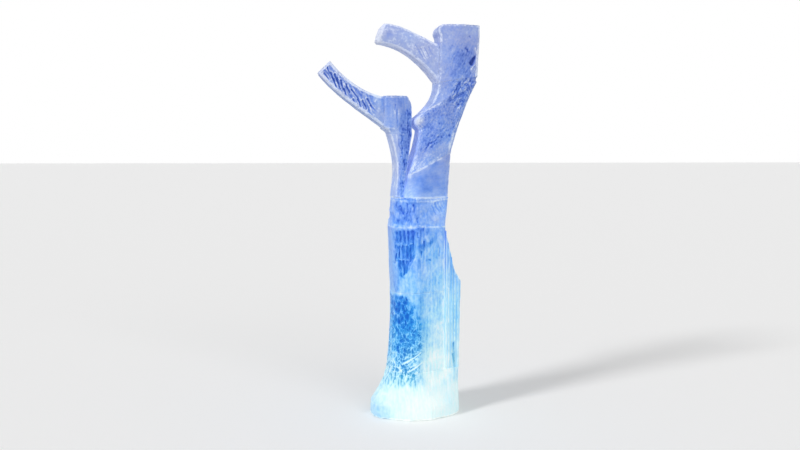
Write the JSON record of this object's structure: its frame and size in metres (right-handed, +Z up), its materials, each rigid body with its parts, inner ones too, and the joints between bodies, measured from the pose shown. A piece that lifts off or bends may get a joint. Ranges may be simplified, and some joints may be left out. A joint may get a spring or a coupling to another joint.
{
  "type": "carved ice tree column",
  "caption": "Free-standing column of sawn ice blocks, carved as a forked tree trunk with a flared foot, a fluted side slab and cut-off arms",
  "frame": {"origin": "on the floor under the middle of the trunk, at the middle of the foot's depth", "axes": "+Z up, +X to the viewer's right, towards the side slab, and +Y away from the viewer"},
  "size_m": [1.0098, 0.4326, 2.4696],
  "materials": {
    "foot_ice": "satin",
    "trunk_ice": "satin",
    "slab_ice": "satin",
    "clear_ice": "polished",
    "bark_ice": "satin",
    "frosted_ice": "satin"
  },
  "bodies": {
    "root": {"foot_block": "foot_ice", "trunk_base": "trunk_ice", "trunk_middle": "trunk_ice", "trunk_collar": "trunk_ice", "side_slab": "slab_ice", "fork_block": "clear_ice", "left_stem": "bark_ice", "left_stem_head": "frosted_ice", "left_arm": "bark_ice", "right_limb_lower": "bark_ice", "right_limb_upper": "bark_ice", "right_head": "frosted_ice", "right_arm": "frosted_ice"}
  },
  "joints": []
}
